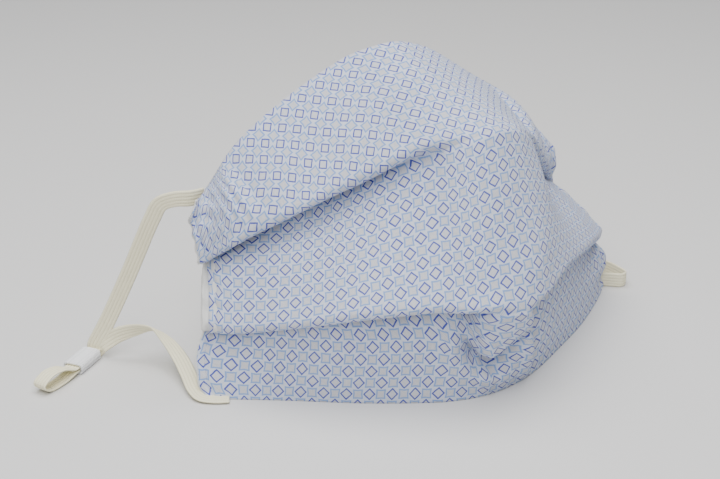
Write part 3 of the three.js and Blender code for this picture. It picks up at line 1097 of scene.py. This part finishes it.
def print_group() -> bpy.types.NodeTree:
    """Builds the print: outlined squares that stand on a corner, between others that lie level.

    Returns:
        The node group.
    """
    ripple_size = 0.3
    ripple_reach = 4.0
    sky_corner = 0.1
    line_edge = (-0.012, 0.02)
    tile_edge = (-0.03, 0.01)
    blue_tile_share = 0.75
    tree, wires, given, out = shader_group(
        "squares print",
        {"Fabric": (0.0, 0.0, 0.0), "Repeat": 8.72, "Wobble": 0.1, "Blue Half": 0.238,
         "Sky Half": 0.168, "Blue Line": 0.036, "Sky Line": 0.027},
        ("Blue Lines", "Sky Lines", "Tiles"))
    ripple = wires.node("ShaderNodeTexNoise", noise_dimensions="2D")
    wires.feed(ripple.inputs["Vector"], given["Fabric"])
    wires.feed(ripple.inputs["Scale"], ripple_size)
    shift = wires.node("ShaderNodeVectorMath", operation="SUBTRACT")
    wires.feed(shift.inputs[0], ripple.outputs[1])
    shift.inputs[1].default_value = (0.5, 0.5, 0.5)
    scaled = wires.node("ShaderNodeVectorMath", operation="SCALE")
    wires.feed(scaled.inputs[0], shift.outputs[0])
    wires.feed(scaled.inputs["Scale"], wires.sum(Sum.TIMES, given["Wobble"], ripple_reach))
    moved = wires.node("ShaderNodeVectorMath", operation="ADD")
    wires.feed(moved.inputs[0], given["Fabric"])
    wires.feed(moved.inputs[1], scaled.outputs[0])
    split = wires.node("ShaderNodeSeparateXYZ")
    wires.feed(split.inputs[0], moved.outputs[0])
    repeats = wires.inverse(given["Repeat"])
    x = wires.sum(Sum.TIMES, split.outputs["X"], repeats)
    y = wires.sum(Sum.TIMES, split.outputs["Y"], repeats)

    def offset(value: Link, start: float) -> bpy.types.NodeSocket:
        """Returns how far a value is from its nearest whole number, counted from a start."""
        counted = wires.sum(Sum.TAKE, value, start)
        return wires.sum(Sum.SIZE, wires.sum(Sum.TAKE, counted, wires.sum(Sum.ROUND, counted)))

    rising = wires.sum(Sum.ADD, x, y)
    falling = wires.sum(Sum.TAKE, x, y)
    blue_reach = wires.sum(Sum.LARGER, offset(rising, 0.0), offset(falling, 0.0))
    first, second = offset(rising, 0.5), offset(falling, 0.5)
    widest = wires.sum(Sum.TIMES, wires.sum(Sum.ADD, first, second), 0.5)
    narrow = wires.sum(Sum.TIMES, wires.sum(Sum.SIZE, wires.sum(Sum.TAKE, first, second)), 0.5)
    sky_reach = wires.sum(Sum.TAKE, widest, wires.sum(Sum.TIMES, narrow, sky_corner))

    def outline(reach: Link, half: Link, line: Link) -> bpy.types.NodeSocket:
        """Returns a mask of the line round a square."""
        away = wires.sum(Sum.SIZE, wires.sum(Sum.TAKE, reach, half))
        return wires.soft_step(wires.sum(Sum.TAKE, away, line), *line_edge)

    wires.feed(out["Blue Lines"], outline(blue_reach, given["Blue Half"], given["Blue Line"]))
    wires.feed(out["Sky Lines"], outline(sky_reach, given["Sky Half"], given["Sky Line"]))
    blue_tile = wires.soft_step(wires.sum(Sum.TAKE, blue_reach, given["Blue Half"]), *tile_edge)
    sky_tile = wires.soft_step(wires.sum(Sum.TAKE, sky_reach, given["Sky Half"]), *tile_edge)
    paler = wires.sum(Sum.TIMES, blue_tile, blue_tile_share)
    wires.feed(out["Tiles"], wires.sum(Sum.LARGER, sky_tile, paler))
    return tree


def rib_group() -> bpy.types.NodeTree:
    """Builds the knit of an elastic: rows of small slanted loops along the band.

    Returns:
        The node group.
    """
    loop_share = 0.3
    tree, wires, given, out = shader_group(
        "elastic knit", {"Fabric": (0.0, 0.0, 0.0), "Loop Pitch": 0.62, "Rib Pitch": 1.3},
        ("Height", "Shade"))
    split = wires.node("ShaderNodeSeparateXYZ")
    wires.feed(split.inputs[0], given["Fabric"])
    across = wires.sum(Sum.TIMES, split.outputs["X"], wires.inverse(given["Rib Pitch"]))
    slant = wires.sum(Sum.SIZE, wires.sum(Sum.TAKE, across, wires.sum(Sum.ROUND, across)))
    along = wires.sum(Sum.TIMES, split.outputs["Y"], wires.inverse(given["Loop Pitch"]))
    loops = wires.sum(Sum.SINE, wires.sum(Sum.TIMES, wires.sum(Sum.ADD, along, slant), 2 * math.pi))
    groove = wires.soft_step(slant, 0.3, 0.5)
    height = wires.sum(Sum.ADD, wires.sum(Sum.TIMES, loops, loop_share), groove)
    wires.feed(out["Height"], height)
    wires.feed(out["Shade"], height)
    return tree


@dataclass(frozen=True)
class FabricFinish:
    """How a plain woven cotton looks."""

    name: str
    ground: Colour
    shadow: Colour
    roughness: float = 0.9
    sheen: float = 0.15
    sheen_roughness: float = 0.6
    specular: float = 0.2
    weave_depth: float = 0.09

    def start(self) -> tuple[bpy.types.Material, Wiring, bpy.types.Node, bpy.types.NodeSocket]:
        """Starts the material.

        Returns:
            The material, its wiring, its shader and the fabric's coordinates in millimetres.
        """
        material = bpy.data.materials.new(self.name)
        material.use_nodes = True
        wires = Wiring(material.node_tree)
        shader = next(node for node in material.node_tree.nodes if node.type == "BSDF_PRINCIPLED")
        shader.inputs["Roughness"].default_value = self.roughness
        shader.inputs["Sheen Weight"].default_value = self.sheen
        shader.inputs["Sheen Roughness"].default_value = self.sheen_roughness
        shader.inputs["Specular IOR Level"].default_value = self.specular
        fabric = wires.node("ShaderNodeUVMap", uv_map="cloth").outputs[0]
        return material, wires, shader, fabric

    def relief(self, wires: Wiring, shader: bpy.types.Node, height: Link, depth: float) -> None:
        """Gives the shader a relief.

        Args:
            wires: The material's wiring.
            shader: Its shader.
            height: The relief's height.
            depth: How much one unit of that height is, in millimetres.
        """
        bump = wires.node("ShaderNodeBump")
        bump.inputs["Strength"].default_value = 1.0
        bump.inputs["Distance"].default_value = depth * MM
        wires.feed(bump.inputs["Height"], height)
        wires.feed(shader.inputs["Normal"], bump.outputs[0])

    def plain(self, weave: bpy.types.NodeTree) -> bpy.types.Material:
        """Makes the material of an unprinted cotton.

        Args:
            weave: The plain weave's node group.

        Returns:
            The material.
        """
        material, wires, shader, fabric = self.start()
        threads = wires.node("ShaderNodeGroup", node_tree=weave)
        wires.feed(threads.inputs["Fabric"], fabric)
        share = wires.soft_step(threads.outputs["Shade"], -0.6, 0.6)
        wires.feed(shader.inputs["Base Color"], wires.blend(share, self.ground, self.shadow))
        self.relief(wires, shader, threads.outputs["Height"], self.weave_depth)
        return material


@dataclass(frozen=True)
class PrintedFinish(FabricFinish):
    """How the printed cotton looks: a woven ground with two kinds of outlined squares."""

    tile: Colour = linear(224, 223, 226)
    sky: Colour = linear(126, 168, 230)
    blue: Colour = linear(70, 84, 186)
    sky_ink: float = 0.9

    def printed(self, weave: bpy.types.NodeTree, squares: bpy.types.NodeTree) -> bpy.types.Material:
        """Makes the material of the printed cotton.

        Args:
            weave: The plain weave's node group.
            squares: The print's node group.

        Returns:
            The material.
        """
        material, wires, shader, fabric = self.start()
        threads = wires.node("ShaderNodeGroup", node_tree=weave)
        wires.feed(threads.inputs["Fabric"], fabric)
        motif = wires.node("ShaderNodeGroup", node_tree=squares)
        wires.feed(motif.inputs["Fabric"], fabric)
        colour = wires.blend(motif.outputs["Tiles"], self.ground, self.tile)
        sky_lines = wires.sum(Sum.TIMES, motif.outputs["Sky Lines"], self.sky_ink)
        colour = wires.blend(sky_lines, colour, self.sky)
        colour = wires.blend(motif.outputs["Blue Lines"], colour, self.blue)
        share = wires.soft_step(threads.outputs["Shade"], -0.6, 0.6, 0.0, 1.0)
        wires.feed(shader.inputs["Base Color"], wires.blend(share, colour, self.shadow, "MULTIPLY"))
        self.relief(wires, shader, threads.outputs["Height"], self.weave_depth)
        return material


@dataclass(frozen=True)
class KnitFinish(FabricFinish):
    """How a knitted elastic or its sleeve looks."""

    loop_pitch: float = 0.62
    rib_pitch: float = 1.3

    def knitted(self, ribs: bpy.types.NodeTree) -> bpy.types.Material:
        """Makes the material of the knit.

        Args:
            ribs: The elastic knit's node group.

        Returns:
            The material.
        """
        material, wires, shader, fabric = self.start()
        knit = wires.node("ShaderNodeGroup", node_tree=ribs)
        knit.inputs["Loop Pitch"].default_value = self.loop_pitch
        knit.inputs["Rib Pitch"].default_value = self.rib_pitch
        wires.feed(knit.inputs["Fabric"], fabric)
        share = wires.soft_step(knit.outputs["Shade"], -0.3, 1.1)
        wires.feed(shader.inputs["Base Color"], wires.blend(share, self.ground, self.shadow))
        self.relief(wires, shader, knit.outputs["Height"], self.weave_depth)
        return material


@dataclass
class SeamStitches:
    """The rows of machine stitches along the mask's two side hems, in millimetres.

    proud says how far the middle of the thread stands out of the cloth.
    """

    layer: ClothLayer
    from_edge: float = 2.9
    pitch: float = 2.6
    stitch_length: float = 2.1
    thread_radius: float = 0.13
    proud: float = -0.04

    def seam(self, side: Side) -> np.ndarray:
        """Lays one seam on the outer face.

        Args:
            side: The end of the mask that is sewn.

        Returns:
            The seam's points, which stop a stitch short of both hems.
        """
        surface = self.layer.surface
        place = self.from_edge if side is Side.LEFT else surface.length - self.from_edge
        column = int(np.searchsorted(surface.columns(), place))
        grid = self.layer.pulled()
        outward = -ClothSurface.inward(grid)[column]
        down = surface.down[column]
        inside = (down > self.stitch_length) & (down < down.max() - self.stitch_length)
        return (grid[column] + outward * self.proud)[inside]

    def build(self, thread: bpy.types.Material) -> bpy.types.Object:
        """Sews both seams with Geometry Nodes.

        Args:
            thread: The thread's material, whose dark blue-grey colour is painted shade of the seam's
                groove.

        Returns:
            Both rows of stitches as one plain mesh.
        """
        points: list[np.ndarray] = []
        edges: list[tuple[int, int]] = []
        for side in Side:
            seam = self.seam(side)
            first = sum(len(part) for part in points)
            points.append(seam)
            edges += [(first + i, first + i + 1) for i in range(len(seam) - 1)]
        mesh = bpy.data.meshes.new("hem_stitches")
        mesh.from_pydata((np.concatenate(points) * MM).tolist(), edges, [])
        holder = bpy.data.objects.new("hem_stitch_rows", mesh)
        bpy.context.scene.collection.objects.link(holder)
        tree, sockets = stitch_tree()
        modifier = holder.modifiers.new("stitches", "NODES")
        modifier.node_group = tree
        for title, value in (("Pitch", self.pitch * MM), ("Stitch Length", self.stitch_length * MM),
                             ("Thread Radius", self.thread_radius * MM), ("Thread", thread)):
            modifier[sockets[title]] = value
        bpy.context.view_layer.update()
        graph = bpy.context.evaluated_depsgraph_get()
        sewn = bpy.data.meshes.new_from_object(holder.evaluated_get(graph))
        sewn.name = "hem_stitches"
        bpy.data.objects.remove(holder)
        piece = bpy.data.objects.new("hem_stitches", sewn)
        bpy.context.scene.collection.objects.link(piece)
        sewn.polygons.foreach_set("use_smooth", [True] * len(sewn.polygons))
        return piece


def stitch_tree() -> tuple[bpy.types.NodeTree, dict[str, str]]:
    """Builds the Geometry Nodes that lay one small thread capsule at each step of a seam.

    Returns:
        The node tree, and each named input's identifier.
    """
    tree = bpy.data.node_groups.new("stitch row", "GeometryNodeTree")
    tree.interface.new_socket(name="Geometry", in_out="INPUT", socket_type="NodeSocketGeometry")
    kinds = {"Pitch": "NodeSocketFloat", "Stitch Length": "NodeSocketFloat",
             "Thread Radius": "NodeSocketFloat", "Thread": "NodeSocketMaterial"}
    sockets = {title: tree.interface.new_socket(name=title, in_out="INPUT", socket_type=kind).identifier
               for title, kind in kinds.items()}
    tree.interface.new_socket(name="Geometry", in_out="OUTPUT", socket_type="NodeSocketGeometry")
    wires = Wiring(tree)
    given = wires.node("NodeGroupInput").outputs
    curve = wires.node("GeometryNodeMeshToCurve")
    wires.feed(curve.inputs["Mesh"], given["Geometry"])
    spaced = wires.node("GeometryNodeResampleCurve", mode="LENGTH")
    wires.feed(spaced.inputs["Curve"], curve.outputs[0])
    wires.feed(spaced.inputs["Length"], given["Pitch"])
    thread = wires.node("GeometryNodeMeshUVSphere")
    thread.inputs["Segments"].default_value = 6
    thread.inputs["Rings"].default_value = 6
    thread.inputs["Radius"].default_value = 1.0
    sizes = wires.node("ShaderNodeCombineXYZ")
    wires.feed(sizes.inputs["X"], given["Thread Radius"])
    wires.feed(sizes.inputs["Y"], given["Thread Radius"])
    wires.feed(sizes.inputs["Z"], wires.sum(Sum.TIMES, given["Stitch Length"], 0.5))
    turned = wires.node("FunctionNodeAlignRotationToVector", axis="Z")
    wires.feed(turned.inputs["Vector"], wires.node("GeometryNodeInputTangent").outputs[0])
    laid = wires.node("GeometryNodeInstanceOnPoints")
    wires.feed(laid.inputs["Points"], spaced.outputs[0])
    wires.feed(laid.inputs["Instance"], thread.outputs["Mesh"])
    wires.feed(laid.inputs["Rotation"], turned.outputs[0])
    wires.feed(laid.inputs["Scale"], sizes.outputs[0])
    real = wires.node("GeometryNodeRealizeInstances")
    wires.feed(real.inputs[0], laid.outputs[0])
    painted = wires.node("GeometryNodeSetMaterial")
    wires.feed(painted.inputs["Geometry"], real.outputs[0])
    wires.feed(painted.inputs["Material"], given["Thread"])
    wires.feed(wires.node("NodeGroupOutput").inputs[0], painted.outputs[0])
    return tree, sockets


@dataclass(frozen=True)
class SoftLight:
    """A square soft light: where it hangs and its width, in metres, and its power in watts."""

    name: str
    place: Row
    size: float
    power: float


@dataclass
class Studio:
    """The pale floor, the soft lights and the camera at the photo's angle.

    The camera's place is in millimetres, counted from where the table of sections counts.
    """

    origin: np.ndarray
    azimuth: float = -31.3
    elevation: float = 24.0
    camera_place: Row = (-303.77, -404.18, 288.0)
    lens: float = 75.6
    sensor_width: float = 36.0
    nearest: float = 0.01
    farthest: float = 50.0
    floor_size: float = 12.0
    floor_colour: Colour = linear(214, 213, 212)
    floor_roughness: float = 0.7
    world_colour: Colour = linear(236, 238, 241)
    world_strength: float = 0.24
    lit_place: Row = (0, 0.03, 0.05)
    lights: tuple[SoftLight, ...] = (
        SoftLight("key", place=(-0.4, -0.45, 0.6), size=0.4, power=3.6),
        SoftLight("top", place=(-0.05, 0.06, 0.9), size=1.0, power=15.5),
    )

    def build(self) -> None:
        """Sets up the floor, the world, the lights and the camera."""
        self.floor()
        world = bpy.data.worlds.new("studio")
        world.use_nodes = True
        sky = next(node for node in world.node_tree.nodes if node.type == "BACKGROUND")
        sky.inputs["Color"].default_value = self.world_colour
        sky.inputs["Strength"].default_value = self.world_strength
        bpy.context.scene.world = world
        for light in self.lights:
            self.hang(light)
        self.camera()

    def floor(self) -> None:
        """Lays a large level floor under the mask."""
        half = self.floor_size / 2
        mesh = bpy.data.meshes.new("floor")
        corners = [(-half, -half, 0), (half, -half, 0), (half, half, 0), (-half, half, 0)]
        mesh.from_pydata(corners, [], [(0, 1, 2, 3)])
        floor = bpy.data.objects.new("floor", mesh)
        bpy.context.scene.collection.objects.link(floor)
        material = bpy.data.materials.new("pale floor")
        material.use_nodes = True
        shader = next(node for node in material.node_tree.nodes if node.type == "BSDF_PRINCIPLED")
        shader.inputs["Base Color"].default_value = self.floor_colour
        shader.inputs["Roughness"].default_value = self.floor_roughness
        mesh.materials.append(material)

    def hang(self, light: SoftLight) -> None:
        """Hangs a light so that it points at the mask.

        Args:
            light: The light.
        """
        data = bpy.data.lights.new(light.name, "AREA")
        data.size = light.size
        data.energy = light.power
        lamp = bpy.data.objects.new(light.name, data)
        lamp.location = light.place
        aim = Vector(self.lit_place) - Vector(light.place)
        lamp.rotation_euler = aim.to_track_quat("-Z", "Y").to_euler()
        bpy.context.scene.collection.objects.link(lamp)

    def camera(self) -> None:
        """Places the camera at the photo's angle and distance."""
        data = bpy.data.cameras.new("camera")
        data.lens = self.lens
        data.sensor_width = self.sensor_width
        data.sensor_fit = "HORIZONTAL"
        data.clip_start = self.nearest
        data.clip_end = self.farthest
        turn, tilt = math.radians(self.azimuth), math.radians(self.elevation)
        level = Vector((-math.sin(turn), math.cos(turn), 0)) * math.cos(tilt)
        ahead = level - Vector((0, 0, math.sin(tilt)))
        camera = bpy.data.objects.new("camera", data)
        camera.location = Vector(np.array(self.camera_place) - self.origin) * MM
        camera.rotation_mode = "QUATERNION"
        camera.rotation_quaternion = ahead.to_track_quat("-Z", "Y")
        bpy.context.scene.collection.objects.link(camera)
        bpy.context.scene.camera = camera


def main() -> None:
    """Builds the mask's pieces in order and reports each of them."""
    logging.basicConfig(level=logging.INFO, format="%(name)s: %(message)s")
    surface = ClothSurface()
    weave, squares, ribs = weave_group(), print_group(), rib_group()
    printed = PrintedFinish("printed cotton", ground=linear(230, 235, 247), shadow=linear(198, 202, 212))
    white = FabricFinish("white cotton", ground=linear(236, 236, 234), shadow=linear(216, 216, 214))
    cream = KnitFinish("cream elastic", ground=linear(245, 239, 209), shadow=linear(226, 219, 184),
                       weave_depth=0.08)
    ribbed = KnitFinish("white sleeve", ground=linear(238, 239, 242), shadow=linear(222, 223, 227),
                        weave_depth=0.08)
    # The stitches' thread is coloured dark blue-grey as painted shade: it stands in for the shadow in the
    # seam's groove, not for a dyed thread.
    thread = FabricFinish("thread painted as seam shade", ground=linear(136, 148, 190), shadow=linear(120, 132, 176))
    cloth_pulls = tuple(pull.cloth for pull in EDGE_PULLS)
    lining_pulls = tuple(pull.lining for pull in EDGE_PULLS)
    cloth_layer = ClothLayer(surface, "printed_cloth", near=0.0, far=0.55, pulls=cloth_pulls)
    lining_layer = ClothLayer(surface, "white_lining", near=0.6, far=1.1, pulls=lining_pulls)
    cloth = cloth_layer.build(printed.printed(weave, squares))
    lining = lining_layer.build(white.plain(weave))
    stitches = SeamStitches(cloth_layer).build(thread.plain(weave))
    cream_knit, sleeve_knit = cream.knitted(ribs), ribbed.knitted(ribs)
    settle(cloth, "printed_cotton", "outer_cloth")
    settle(lining, "white_cotton", "lining")
    settle(stitches, "printed_cotton")
    for side, adjuster, route in ((Side.LEFT, LEFT_ADJUSTER, LEFT_ROUTE),
                                  (Side.RIGHT, RIGHT_ADJUSTER, RIGHT_ROUTE)):
        elastic = EarLoop(side, adjuster, route, surface.origin).build(cream_knit)
        settle(elastic, "elastic", f"ear_loop_{side.value}")
        sleeve = Sleeve(side, adjuster, surface.origin).build(sleeve_knit)
        settle(sleeve, "adjuster_webbing", f"adjuster_{side.value}")
    Studio(surface.origin).build()


if __name__ == "__main__":
    main()
